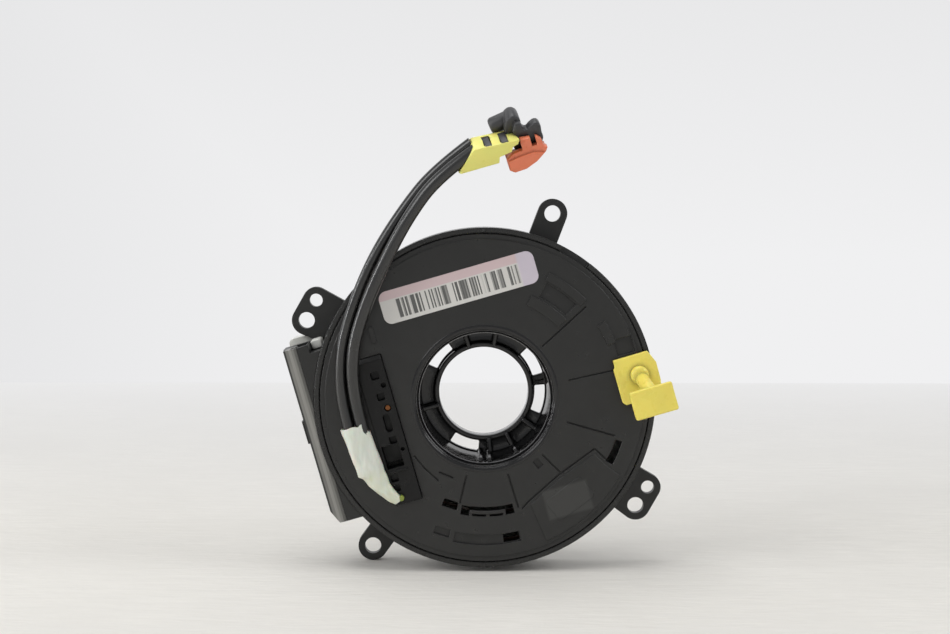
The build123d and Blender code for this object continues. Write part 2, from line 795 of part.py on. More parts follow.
with BuildPart() as plug_nose:
    with BuildSketch(plug_front.offset(-plug_depth - plug_fit)):
        outline_face(nose_outline)
    extrude(amount=-nose_depth)
    fillet(plug_nose.edges().filter_by(Axis(plug_front.origin, plug_front.z_dir)), nose_round)
    lobe_run = Vector(lobe_end[0] - lobe_start[0], lobe_end[1] - lobe_start[1])
    lobe_centre = plug_front.from_local_coords((*lobe_start, -plug_depth - plug_fit - nose_depth / 2))
    lobe_way = plug_x * lobe_run.X + plug_up * lobe_run.Y
    with BuildSketch(Plane(origin=lobe_centre, z_dir=lobe_way)):
        Circle(lobe_radius)
    extrude(amount=lobe_run.length)
plug_nose.part.label = "plug_nose"

with BuildPart() as plug_lock:
    with BuildSketch(plug_front.offset(-lock_front)):
        outline_face(lock_outline)
        with Locations(lock_slot_at):
            Rectangle(lock_slot[0], lock_slot[1], mode=Mode.SUBTRACT)
    extrude(amount=-lock_depth)
    with BuildSketch(plug_front.offset(-lock_front)):
        outline_face(lock_flange)
    extrude(amount=lock_flange_rise)
plug_lock.part.label = "plug_lock"

# ---------------------------------------------------------------- transport clip
with BuildPart() as lock_clip:
    clip_floor = face_height + clip_gap
    with BuildSketch(level(clip_floor)):
        outline_face([(case_radius - clip_inset + x, clip_y + y) for x, y in clip_outline])
    extrude(amount=clip_base)
    with BuildSketch(level(clip_tongue_end)):
        with Locations(clip_tongue_at):
            Rectangle(clip_tongue[0], clip_tongue[1])
    extrude(amount=clip_floor - clip_tongue_end)
    with BuildSketch(level(clip_floor)):
        with Locations(clip_stem_at):
            Rectangle(clip_stem[0], clip_stem[1])
    extrude(amount=clip_base + clip_reach)
    with BuildSketch(level(clip_floor + clip_base + clip_reach)):
        with Locations(clip_grip_at):
            RectangleRounded(clip_grip[0], clip_grip[1], clip_round)
    extrude(amount=clip_grip_thickness)
    fillet(lock_clip.faces().sort_by(Axis.Y)[0].edges(), clip_edge)
lock_clip.part.label = "lock_clip"

# ---------------------------------------------------------------- export
os.makedirs("parts", exist_ok=True)
pieces = [
    rear_plate.part,
    case_ring.part,
    connector_box.part,
    connector_cover.part,
    box_key.part,
    stator_connector.part,
    stator_pins.part,
    glide_sheet.part,
    rotor_disc.part,
    rotor_hub.part,
    ribbon_cable.part,
    switch_socket.part,
    socket_pins.part,
    label.part,
    upper_sleeve.part,
    lower_sleeve.part,
    lead_gland.part,
    lead_thick,
    lead_thin,
    plug_housing.part,
    plug_nose.part,
    plug_lock.part,
    lock_clip.part,
]
for piece in pieces:
    export_step(piece, f"parts/{piece.label}.step")
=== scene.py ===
"""Steering clock spring: finishes, soft pieces and studio of the unit, laid out as an add-on."""

from math import cos, pi, radians, sin

import bpy
from mathutils import Matrix, Vector, noise


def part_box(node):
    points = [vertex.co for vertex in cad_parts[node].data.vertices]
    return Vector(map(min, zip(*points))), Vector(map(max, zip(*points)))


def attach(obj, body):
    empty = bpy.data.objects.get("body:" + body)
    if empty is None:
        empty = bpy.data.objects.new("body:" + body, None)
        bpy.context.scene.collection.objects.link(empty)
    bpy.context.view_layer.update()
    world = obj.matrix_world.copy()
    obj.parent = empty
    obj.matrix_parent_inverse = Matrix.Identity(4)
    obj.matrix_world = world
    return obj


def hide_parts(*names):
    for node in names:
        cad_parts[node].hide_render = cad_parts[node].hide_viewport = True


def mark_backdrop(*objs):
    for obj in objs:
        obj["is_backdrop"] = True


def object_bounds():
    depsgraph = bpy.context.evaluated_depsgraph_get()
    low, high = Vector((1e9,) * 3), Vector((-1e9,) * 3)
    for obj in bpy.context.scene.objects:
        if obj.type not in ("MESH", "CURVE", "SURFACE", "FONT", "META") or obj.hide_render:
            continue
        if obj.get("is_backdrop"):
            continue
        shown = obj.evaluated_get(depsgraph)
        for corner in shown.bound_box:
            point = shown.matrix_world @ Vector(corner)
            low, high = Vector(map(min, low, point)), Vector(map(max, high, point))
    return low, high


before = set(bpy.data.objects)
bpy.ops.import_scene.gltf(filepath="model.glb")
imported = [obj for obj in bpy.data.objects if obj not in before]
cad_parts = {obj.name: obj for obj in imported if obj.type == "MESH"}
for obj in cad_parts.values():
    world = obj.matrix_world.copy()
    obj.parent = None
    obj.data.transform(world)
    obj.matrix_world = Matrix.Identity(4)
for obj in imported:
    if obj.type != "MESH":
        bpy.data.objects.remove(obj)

bl_info = {
    "name": "Clock spring builder",
    "version": (1, 0, 0),
    "blender": (4, 5, 0),
    "location": "View3D > Sidebar > Clock spring",
    "description": "Dresses the clock spring and sets up its studio",
    "category": "Add Mesh",
}

ROLL = radians(16.2)  # turn of the unit about the steering axis as it stands
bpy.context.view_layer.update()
MILLIMETRES = 1000  # to a metre

# Control points of the two tubes of the lead, in metres.
THICK_ROUTE = [
    (-0.03569, -0.0252, -0.01597),
    (-0.0401, -0.0256, -0.00163),
    (-0.041, -0.0281, 0.01444),
    (-0.037, -0.02903, 0.02874),
    (-0.0308, -0.03, 0.0426),
    (-0.0236, -0.0309, 0.0564),
    (-0.0146, -0.0312, 0.0686),
    (-0.0034, -0.03076, 0.0766),
]
THIN_ROUTE = [
    (-0.03935, -0.0252, -0.01734),
    (-0.04398, -0.02495, -0.00298),
    (-0.0447, -0.0254, 0.01422),
    (-0.0405, -0.0267, 0.0294),
    (-0.0341, -0.0271, 0.04445),
    (-0.0253, -0.02665, 0.0584),
    (-0.0156, -0.0263, 0.0706),
    (-0.0044, -0.02839, 0.0789),
]


def on_unit(x, y, height):
    """Place in metres of a point in the unit's own axes.

    The point is given in millimetres, with its height above the fixing plane.
    """
    across = x * cos(ROLL) - y * sin(ROLL)
    up = x * sin(ROLL) + y * cos(ROLL)
    return Vector((across, -height, up)) / MILLIMETRES


PLUG_CORNER = Vector((-0.00357, -0.0345, 0.07659))  # front upper left corner of the plug
PLUG_LEAN = radians(30)
PLUG_ALONG = Vector((cos(ROLL), 0, sin(ROLL)))
PLUG_UP = Vector((-sin(ROLL) * cos(PLUG_LEAN), -sin(PLUG_LEAN), cos(ROLL) * cos(PLUG_LEAN)))
PLUG_FRONT = PLUG_ALONG.cross(PLUG_UP)


def on_plug(along, up, front):
    """Place in metres of a point in millimetres from the plug's front upper left corner."""
    offset = PLUG_ALONG * along + PLUG_UP * up + PLUG_FRONT * front
    return PLUG_CORNER + offset / MILLIMETRES


def into_plug(along, front, up):
    """The same place, with the plug's depth before its height."""
    return on_plug(along, up, front)


# ---------------------------------------------------------------- settings
def colour(name, description, rgb):
    """Colour property from an sRGB value written 0 to 255."""
    linear = [((c / 255 + 0.055) / 1.055) ** 2.4 if c > 10 else c / 255 / 12.92 for c in rgb]
    return bpy.props.FloatVectorProperty(
        name=name, description=description, default=linear, size=3, min=0, max=1, subtype="COLOR"
    )


def length(name, description, metres):
    """Length property in metres."""
    return bpy.props.FloatProperty(
        name=name, description=description, default=metres, min=0, unit="LENGTH"
    )


class ClockSpringFinishes(bpy.types.PropertyGroup):
    housing: colour("Housing", "Moulded black plastic of both halves", (31, 31, 30))
    hub: colour("Hub", "Polished black plastic of the hub", (20, 20, 21))
    # Painted shade: the socket is darker than the housing, for the shade of its recess.
    socket: colour("Switch socket", "Deep black plastic of the switch socket", (14, 14, 14))
    # Painted highlight: the cover's pale grey stands for light caught by its bevelled lid.
    cover: colour("Cover", "Greyed plastic of the connector cover", (112, 111, 107))
    connector: colour("Column connector", "Light grey plastic behind the box", (224, 224, 218))
    tube: colour("Tube", "Soft black tubing over the wires", (18, 18, 18))
    sleeve: colour("Sleeve", "Milky sleeve where the lead leaves the face", (224, 223, 212))
    sleeve_tip: colour("Sleeve tip", "Yellowed lower part of the sleeve", (214, 214, 186))
    clip: colour("Transport clip", "Yellow clip that locks the face", (240, 223, 104))
    plug: colour("Plug housing", "Pale yellow plug", (244, 238, 130))
    lock: colour("Plug lock", "Orange lock of the plug", (232, 128, 92))
    nose: colour("Plug nose", "Dark grey shorting piece on the plug", (58, 58, 60))
    paper: colour("Label paper", "Glossy white label", (214, 212, 208))
    # Painted shade: the cable's amber is darkened where it shows through the disc's slots.
    ribbon: colour("Ribbon", "Dark amber film of the flat cable", (58, 40, 22))
    print_pink: colour("Label strip", "Pink strip along the label", (208, 186, 188))
    print_lilac: colour("Label end", "Lilac end of the label", (203, 194, 206))
    print_bars: colour("Label bars", "Grey bars of the label", (88, 88, 86))
    copper: colour("Copper", "Contact in the switch socket", (128, 84, 54))
    tin: colour("Pins", "Tinned pins of the connectors", (190, 188, 182))
    grommet: colour("Gland", "Green wire end under the sleeve", (128, 142, 58))


class ClockSpringStage(bpy.types.PropertyGroup):
    floor: colour("Floor", "Pale table under the unit", (236, 233, 227))
    backdrop: colour("Backdrop", "Pale wall behind the unit", (240, 240, 241))
    floor_end: length("Floor depth", "From the unit back to the table's edge", 0.52)
    wall: length("Backdrop depth", "From the unit back to the backdrop", 1.5)
    lamp: bpy.props.FloatProperty(
        name="Lamp power", description="Main softbox", default=3.4, min=0, unit="POWER"
    )


class ClockSpringSizes(bpy.types.PropertyGroup):
    thick: length("Thick tube", "Outside diameter of the thick tube", 0.004)
    thin: length("Thin tube", "Outside diameter of the thin tube", 0.0036)
    lead: length("Thick tube length", "From the taper to the plug", 0.106)
    return_lead: length("Thin tube length", "From the taper to the plug", 0.110)


def settings():
    """The add-on's finishes, stage and sizes."""
    scene = bpy.context.scene
    return scene.clock_spring_finishes, scene.clock_spring_stage, scene.clock_spring_sizes


# ---------------------------------------------------------------- materials
class Finish:
    """One material, with short words for its nodes."""

    def __init__(self, name, base, roughness, **sockets):
        self.material = bpy.data.materials.new(name)
        self.material.use_nodes = True
        self.tree = self.material.node_tree
        self.shader = self.tree.nodes["Principled BSDF"]
        self.shader.inputs["Base Color"].default_value = (*base, 1)
        self.shader.inputs["Roughness"].default_value = roughness
        for socket, value in sockets.items():
            self.shader.inputs[socket.replace("_", " ")].default_value = value
        self.base = base
        self.place = self.add("ShaderNodeTexCoord").outputs["Object"]

    def add(self, kind, **values):
        """New node of a kind, with its own values."""
        node = self.tree.nodes.new(kind)
        for key, value in values.items():
            setattr(node, key, value)
        return node

    def link(self, source, target):
        self.tree.links.new(source, target)

    def combine(self, operation, first, second):
        """A value worked out from two, the second of them a socket or a number."""
        node = self.add("ShaderNodeMath", operation=operation)
        self.link(first, node.inputs[0])
        if isinstance(second, bpy.types.NodeSocket):
            self.link(second, node.inputs[1])
        else:
            node.inputs[1].default_value = second
        return node.outputs[0]

    def noise(self, scale, detail=3.0, rough=0.5, vector=None):
        """Cloudy noise from 0 to 1, its scale in clouds to a metre."""
        node = self.add("ShaderNodeTexNoise")
        node.inputs["Scale"].default_value = scale
        node.inputs["Detail"].default_value = detail
        node.inputs["Roughness"].default_value = rough
        self.link(vector or self.place, node.inputs["Vector"])
        return node.outputs["Fac"]

    def mapped(self, roll=0.0, scale=(1, 1, 1)):
        """The place, turned about the steering axis and stretched."""
        node = self.add("ShaderNodeMapping")
        node.inputs["Rotation"].default_value = (0, roll, 0)
        node.inputs["Scale"].default_value = scale
        self.link(self.place, node.inputs["Vector"])
        return node.outputs[0]

    def axes(self, place=None):
        """A place's X, Y and Z on their own."""
        split = self.add("ShaderNodeSeparateXYZ")
        self.link(place or self.place, split.inputs[0])
        return split.outputs

    def own_axes(self):
        """The place along the unit's own axes, which the steering axis turns by ROLL."""
        return self.axes(self.mapped(ROLL))

    def ramp(self, source, low, high, first=0.0, last=1.0):
        """Rises from first to last while the source goes from low to high."""
        node = self.add("ShaderNodeMapRange")
        for index, value in enumerate((low, high, first, last)):
            node.inputs[index + 1].default_value = value
        self.link(source, node.inputs[0])
        return node.outputs[0]

    def mix(self, amount, first, second):
        """Blend of two colours, each of them a socket or plain."""
        node = self.add("ShaderNodeMix", data_type="RGBA")
        self.link(amount, node.inputs["Factor"])
        for value, socket in ((first, node.inputs[6]), (second, node.inputs[7])):
            if isinstance(value, bpy.types.NodeSocket):
                self.link(value, socket)
            else:
                socket.default_value = (*value, 1)
        return node.outputs[2]

    def tone(self, factor):
        """The base colour made darker or lighter."""
        return tuple(min(1.0, c * factor) for c in self.base)

    def bump(self, height, distance, strength=1.0, normal=None):
        """Normal that follows a fine relief, its depth in metres."""
        node = self.add("ShaderNodeBump")
        node.inputs["Strength"].default_value = strength
        node.inputs["Distance"].default_value = distance
        self.link(height, node.inputs["Height"])
        if normal:
            self.link(normal, node.inputs["Normal"])
        return node.outputs["Normal"]

    def present_colour(self):
        """The socket that the base colour comes from so far."""
        return self.shader.inputs["Base Color"].links[0].from_socket

    def colour_from(self, source):
        self.link(source, self.shader.inputs["Base Color"])

    def roughness_from(self, source):
        self.link(source, self.shader.inputs["Roughness"])

    def normal_from(self, source):
        self.link(source, self.shader.inputs["Normal"])


CLOUD_SCALE = 90  # clouds to a metre in the tone of moulded plastic
SPECK_SCALE = 2600
WEAR_SCALE = 400
GRAIN_SCALE = 2400
WEAR = 0.07  # how far the roughness wanders either way
# Painted shade: moulded plastic is darkened in its hollows and between parts.
PAINTED_SHADE_REACH = 0.0018  # metres over which painted shade darkens the hollows
PAINTED_SHADE_TONE = 0.3


def moulded(name, base, roughness, grain=0.00003, cloud=0.16, edge=0.0002, **sockets):
    """Moulded plastic: fine spark grain, cloudy tone, a little dust, painted shade in hollows, soft
    edges.
    """
    finish = Finish(name, base, roughness, **sockets)
    clouds = finish.ramp(finish.noise(CLOUD_SCALE, 4), 0.3, 0.7)
    body = finish.mix(clouds, finish.tone(1 - cloud), finish.tone(1 + cloud))
    specks = finish.ramp(finish.noise(SPECK_SCALE, 2), 0.66, 0.74, 0, 0.35)
    body = finish.mix(specks, body, finish.tone(1 + 3 * cloud))
    # Painted shade: ambient occlusion darkens the colour where shade falls in hollows.
    painted_shade_ao = finish.add("ShaderNodeAmbientOcclusion", samples=6)
    painted_shade_ao.inputs["Distance"].default_value = PAINTED_SHADE_REACH
    unshaded = finish.ramp(painted_shade_ao.outputs["AO"], 0.35, 0.95)
    finish.colour_from(finish.mix(unshaded, finish.tone(PAINTED_SHADE_TONE), body))
    worn = finish.noise(WEAR_SCALE, 4)
    finish.roughness_from(finish.ramp(worn, 0.3, 0.7, roughness - WEAR, roughness + WEAR))
    rounded = finish.add("ShaderNodeBevel", samples=4)
    rounded.inputs["Radius"].default_value = edge
    relief = finish.noise(GRAIN_SCALE, 3)
    finish.normal_from(finish.bump(relief, grain, 0.5, rounded.outputs["Normal"]))
    return finish


def assign(material, *objects):
    """Gives objects this material alone."""
    for thing in objects:
        thing.data.materials.clear()
        thing.data.materials.append(material)


def dress(finish, *names):
    """Gives CAD nodes a finish."""
    assign(finish.material, *[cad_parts[name] for name in names])


# ---------------------------------------------------------------- shaping
def take(*pieces):
    """Selects these pieces alone, the last one active."""
    bpy.ops.object.select_all(action="DESELECT")
    for piece in pieces:
        piece.select_set(True)
    bpy.context.view_layer.objects.active = pieces[-1]


def made(name, operator, **values):
    """What an operator adds to the scene, under its name and selected alone."""
    bpy.ops.object.select_all(action="DESELECT")
    operator(**values)
    piece = bpy.context.object
    piece.name = name
    return piece


def settle(piece):
    """Applies the piece's place, turn and scale to its mesh."""
    take(piece)
    bpy.ops.object.transform_apply(location=True, rotation=True, scale=True)


def round_edges(piece, width, segments=3, angle=30, clamp=True):
    """Rounds the sharp edges of a finished mesh."""
    take(piece)
    bevel = piece.modifiers.new("edges", "BEVEL")
    bevel.width = width
    bevel.segments = segments
    bevel.limit_method = "ANGLE"
    bevel.angle_limit = radians(angle)
    bevel.miter_outer = "MITER_ARC"
    bevel.use_clamp_overlap = clamp
    bpy.ops.object.modifier_apply(modifier="edges")
    bpy.ops.object.shade_smooth_by_angle(angle=radians(angle))
    return piece


def moulding(name, node):
    """Merged copy of a CAD node, ready for rounding."""
    piece = bpy.data.objects.new(name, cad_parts[node].data.copy())
    bpy.context.scene.collection.objects.link(piece)
    take(piece)
    bpy.ops.object.mode_set(mode="EDIT")
    bpy.ops.mesh.select_all(action="SELECT")
    bpy.ops.mesh.remove_doubles(threshold=0.000001)
    bpy.ops.mesh.tris_convert_to_quads(face_threshold=radians(1), shape_threshold=pi)
    bpy.ops.object.mode_set(mode="OBJECT")
    return piece


def prism(name, outline, place, front, back):
    """Flat piece cut to an outline, from its front to its back."""
    piece = made(
        name, bpy.ops.mesh.primitive_circle_add,
        vertices=len(outline), radius=0.01, fill_type="NGON",
    )
    for vertex, (x, y) in zip(piece.data.vertices, outline):
        vertex.co = place(x, y, front)
    bpy.ops.object.mode_set(mode="EDIT")
    bpy.ops.mesh.select_all(action="SELECT")
    depth = place(0, 0, back) - place(0, 0, front)
    bpy.ops.mesh.extrude_region_move(TRANSFORM_OT_translate={"value": depth})
    bpy.ops.mesh.select_all(action="SELECT")
    bpy.ops.mesh.normals_make_consistent(inside=False)
    bpy.ops.object.mode_set(mode="OBJECT")
    return piece


def rod(name, start, end, radius, vertices=32):
    """Closed round rod between two places."""
    run = end - start
    piece = made(
        name, bpy.ops.mesh.primitive_cylinder_add,
        vertices=vertices, radius=radius, depth=run.length, location=(start + end) / 2,
        rotation=run.to_track_quat("Z", "Y").to_euler(),
    )
    settle(piece)
    return piece


def block(name, centre, size):
    """Box along the unit's own axes, its centre and size in millimetres."""
    width, height, depth = size
    piece = made(
        name, bpy.ops.mesh.primitive_cube_add,
        size=1 / MILLIMETRES, location=on_unit(*centre), rotation=(0, -ROLL, 0),
        scale=(width, depth, height),
    )
    settle(piece)
    return piece


def joined(name, *pieces):
    """One object of several rounded shapes that overlap."""
    take(*reversed(pieces))
    bpy.ops.object.join()
    piece = bpy.context.object
    piece.name = name
    return piece


def stands_for(piece, body, slot, *nodes):
    """Puts a finished piece in the place of CAD nodes."""
    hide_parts(*nodes)
    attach(piece, body)
    return piece


# ---------------------------------------------------------------- camera and stage
CAMERA_PLACE = Vector((-0.01035, -0.59606, 0.06789))
CAMERA_TURN = (radians(0.72), radians(4.23), radians(0.15))  # yaw, pitch and roll
CAMERA_LENS = 70.67
CAMERA_SENSOR = 36


def look_from(place, yaw, pitch, roll):
    """Camera matrix at a place, from its yaw to the right of +Y, pitch downwards and roll."""
    ahead = Vector((sin(yaw) * cos(pitch), cos(yaw) * cos(pitch), -sin(pitch)))
    right = Vector((cos(yaw), -sin(yaw), 0))
    up = right.cross(ahead)
    right, up = right * cos(roll) + up * sin(roll), up * cos(roll) - right * sin(roll)
    turned = Matrix((right, up, -ahead)).transposed()
    return Matrix.Translation(place) @ turned.to_4x4()


class CLOCKSPRING_OT_camera(bpy.types.Operator):
    """Adds the camera at eye level in front of the unit"""

    bl_idname = "clockspring.camera"
    bl_label = "Camera"

    def execute(self, context):
        camera = made("camera", bpy.ops.object.camera_add)
        camera.data.lens = CAMERA_LENS
        camera.data.sensor_width = CAMERA_SENSOR
        camera.data.clip_start = 0.01
        camera.matrix_world = look_from(CAMERA_PLACE, *CAMERA_TURN)
        context.scene.camera = camera
        return {"FINISHED"}


LAMP_AIM = Vector((0, -0.01, 0.01))
LAMPS = (  # name, place, width, height and share of the lamp power
    ("left_softbox", (-0.75, -0.6, 0.62), 0.5, 0.5, 0.85),
    ("right_softbox", (0.8, -0.3, 0.6), 0.45, 0.45, 0.7),
    ("top_softbox", (-0.15, -0.05, 1.0), 0.9, 0.6, 1.0),
    ("left_strip", (-0.75, -0.12, 0.12), 0.05, 0.5, 0.5),
)
SKY = (0.93, 0.94, 0.95)  # what lights the unit from all around
SKY_STRENGTH = 0.5
SHEET_SIZE = (6, 3, 1)  # of the floor and of the backdrop
FLOOR_DROP = 0.0001  # keeps the floor clear of the unit's lowest point
WALL_RISE = 0.5  # of the backdrop's middle over the floor


def lamp(name, place, width, height, power):
    """Softbox aimed at the unit."""
    light = made(name, bpy.ops.object.light_add, type="AREA", location=place)
    light.data.shape = "RECTANGLE"
    light.data.size = width
    light.data.size_y = height
    light.data.energy = power
    light.rotation_euler = (LAMP_AIM - Vector(place)).to_track_quat("-Z", "Y").to_euler()


def sheet(name, location, rotation=(0, 0, 0)):
    """Large flat sheet of the stage."""
    piece = made(
        name, bpy.ops.mesh.primitive_plane_add, size=1, rotation=rotation, location=location
    )
    piece.scale = SHEET_SIZE
    settle(piece)
    return piece


def seen_as(finish, tone, share=None):
    """Shows a share of the surface as a plain tone to the camera, and to what mirrors it."""
    rays = finish.add("ShaderNodeLightPath")
    glow = finish.add("ShaderNodeEmission")
    if isinstance(tone, bpy.types.NodeSocket):
        finish.link(tone, glow.inputs["Color"])
    else:
        glow.inputs["Color"].default_value = (*tone, 1)
    amount = finish.combine(
        "MAXIMUM", rays.outputs["Is Camera Ray"], rays.outputs["Is Glossy Ray"]
    )
    if share:
        amount = finish.combine("MULTIPLY", amount, share)
    blend = finish.add("ShaderNodeMixShader")
    finish.link(amount, blend.inputs[0])
    finish.link(finish.shader.outputs[0], blend.inputs[1])
    finish.link(glow.outputs[0], blend.inputs[2])
    finish.link(blend.outputs[0], finish.tree.nodes["Material Output"].inputs["Surface"])


def floor_finish(stage):
    """Grained table that fades to the backdrop's tone far out."""
    paper = Finish("pale_table", tuple(stage.floor), 0.62)
    blotch = paper.ramp(paper.noise(14, 5, 0.6), 0.32, 0.68)
    grain = paper.ramp(paper.noise(1.0, 6, 0.65, paper.mapped(scale=(60, 240, 1))), 0.3, 0.7)
    mottled = paper.combine("MULTIPLY", blotch, grain)
    paper.colour_from(paper.mix(mottled, paper.tone(0.95), paper.tone(1.04)))
    paper.normal_from(paper.bump(grain, 0.0006, 0.5))
    reach = paper.add("ShaderNodeVectorMath", operation="LENGTH")
    paper.link(paper.place, reach.inputs[0])
    behind = paper.ramp(paper.axes()["Y"], 0.05, stage.floor_end, 0.0, 0.8)
    around = paper.ramp(reach.outputs["Value"], 0.45, 1.2)
    seen_as(paper, tuple(stage.backdrop), paper.combine("MAXIMUM", behind, around))
    return paper


def backdrop_finish(stage):
    """Plain card, painted a little darker to the upper left as shade."""
    card = Finish("pale_backdrop", tuple(stage.backdrop), 0.9)
    place = card.axes()
    # Painted shade: the card's tone falls towards its upper left.
    left = card.ramp(place["X"], -0.5, -0.14)
    top = card.ramp(place["Z"], 0.32, -0.02)
    seen_as(card, card.mix(card.combine("MINIMUM", left, top), card.tone(0.92), card.tone(1.0)))
    return card


def studio_world(stage):
    """Soft light from all around, which the camera sees in the backdrop's tone."""
    world = bpy.data.worlds.new("studio")
    world.use_nodes = True
    nodes = world.node_tree.nodes
    join = world.node_tree.links.new
    light = nodes["Background"]
    light.inputs["Color"].default_value = (*SKY, 1)
    light.inputs["Strength"].default_value = SKY_STRENGTH
    seen = nodes.new("ShaderNodeBackground")
    seen.inputs["Color"].default_value = (*stage.backdrop, 1)
    rays = nodes.new("ShaderNodeLightPath")
    blend = nodes.new("ShaderNodeMixShader")
    join(rays.outputs["Is Camera Ray"], blend.inputs[0])
    join(light.outputs[0], blend.inputs[1])
    join(seen.outputs[0], blend.inputs[2])
    join(blend.outputs[0], nodes["World Output"].inputs["Surface"])
    return world


class CLOCKSPRING_OT_stage(bpy.types.Operator):
    """Lays the pale table, hangs the backdrop and sets the soft lamps"""

    bl_idname = "clockspring.stage"
    bl_label = "Stage"

    def execute(self, context):
        stage = settings()[1]
        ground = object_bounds()[0].z
        floor = sheet("floor", (0, stage.floor_end - SHEET_SIZE[1] / 2, ground - FLOOR_DROP))
        assign(floor_finish(stage).material, floor)
        wall = sheet("backdrop", (0, stage.wall, ground + WALL_RISE), (pi / 2, 0, 0))
        assign(backdrop_finish(stage).material, wall)
        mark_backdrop(floor, wall)
        for name, place, width, height, share in LAMPS:
            lamp(name, place, width, height, stage.lamp * share)
        context.scene.world = studio_world(stage)
        context.scene.view_settings.view_transform = "Standard"
        return {"FINISHED"}


def tube_finish(name, base):
    """Soft tubing with a faint sheen."""
    finish = Finish(name, base, 0.3, Coat_Weight=0.6, Coat_Roughness=0.14)
    clouds = finish.ramp(finish.noise(60, 3), 0.3, 0.7)
    finish.colour_from(finish.mix(clouds, finish.tone(0.85), finish.tone(1.2)))
    finish.roughness_from(finish.ramp(finish.noise(120, 3), 0.3, 0.7, 0.26, 0.36))
    finish.normal_from(finish.bump(finish.noise(180, 3), 0.00003, 0.2))
    return finish


def tube(name, route, diameter, material):
    """NURBS tube on the route's control points."""
    curve = bpy.data.curves.new(name, "CURVE")
    curve.dimensions = "3D"
    curve.resolution_u = 24
    curve.bevel_depth = diameter / 2
    curve.bevel_resolution = 8
    curve.use_fill_caps = True
    spline = curve.splines.new("NURBS")
    spline.points.add(len(route) - 1)
    for point, place in zip(spline.points, route):
        point.co = (*place, 1)
    spline.order_u = 3
    spline.use_endpoint_u = True
    piece = bpy.data.objects.new(name, curve)
    bpy.context.scene.collection.objects.link(piece)
    curve.materials.append(material)
    return piece


class CLOCKSPRING_OT_lead(bpy.types.Operator):
    """Adds the two soft tubes that carry the wires to the plug"""

    bl_idname = "clockspring.lead"
    bl_label = "Lead"

    def execute(self, context):
        finishes, _, sizes = settings()
        soft = tube_finish("tubing", tuple(finishes.tube))
        thick = tube("tube_thick", THICK_ROUTE, sizes.thick, soft.material)
        thin = tube("tube_thin", THIN_ROUTE, sizes.thin, soft.material)
        for piece, node in ((thick, "lead_thick"), (thin, "lead_thin")):
            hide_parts(node)
            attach(piece, "rotor")
        return {"FINISHED"}


# ---------------------------------------------------------------- plug
WINDOWS = (  # along the plug and from its front, millimetres
    ((2.9, -6.9), (5.1, -6.9), (5.5, -0.4), (3.5, -0.4)),
    ((8.0, -6.9), (10.3, -6.9), (10.5, -0.4), (8.4, -0.4)),
)
# Depths are the front and the back of a shape, in millimetres from the plug's front.
CUT_START = 2.0  # a cutter starts this far outside the shell
WINDOW_DEPTH = 3.2
CONTACT_DEPTH = 0.5
CONTACT_OVERLAP = 0.3
CORNER = ((11.2, -9.0), (14.3, 0.4), (17.0, 0.4), (17.0, -9.0))
CORNER_DEPTH = 2.6
BEHIND_LINK = ((7.0, -7.2), (7.0, 4.0), (24.0, 4.0), (24.0, -7.2))  # what the lock leaves free
BEHIND_LINK_DEPTHS = (-3.0, -9.0)
SHORTING_LINK = (
    (12.5, 0.0), (13.7, 2.8), (15.5, 2.6), (15.9, 0.5), (16.8, -0.4), (18.0, 0.6), (19.4, 1.3),
    (20.6, 1.2), (21.3, 0.0), (21.1, -2.4), (21.3, -4.4), (20.4, -6.1), (19.0, -6.0),
    (15.8, -5.1), (13.8, -3.9),
)
SHORTING_LINK_DEPTHS = (-3.3, -7.0)
SHORTING_NECK = (
    (10.2, -1.2), (10.6, 1.6), (11.6, 3.8), (13.4, 4.7), (15.0, 4.2), (15.9, 2.6), (15.6, -0.6),
    (15.4, -7.1), (11.8, -7.1), (12.0, -2.6),
)
SHORTING_NECK_DEPTHS = (-5.2, -12.2)
SHORTING_KNOB = ((6.5, 0.3, -10.4), (14.4, 1.6, -10.4))  # along, up and from the plug's front
SHORTING_KNOB_RADIUS = 0.0027


def cut_away(piece, cutter):
    """Takes the cutter's shape out of the piece, and the cutter away."""
    take(piece)
    cut = piece.modifiers.new("cut", "BOOLEAN")
    cut.operation = "DIFFERENCE"
    cut.object = cutter
    bpy.ops.object.modifier_apply(modifier="cut")
    bpy.data.objects.remove(cutter)


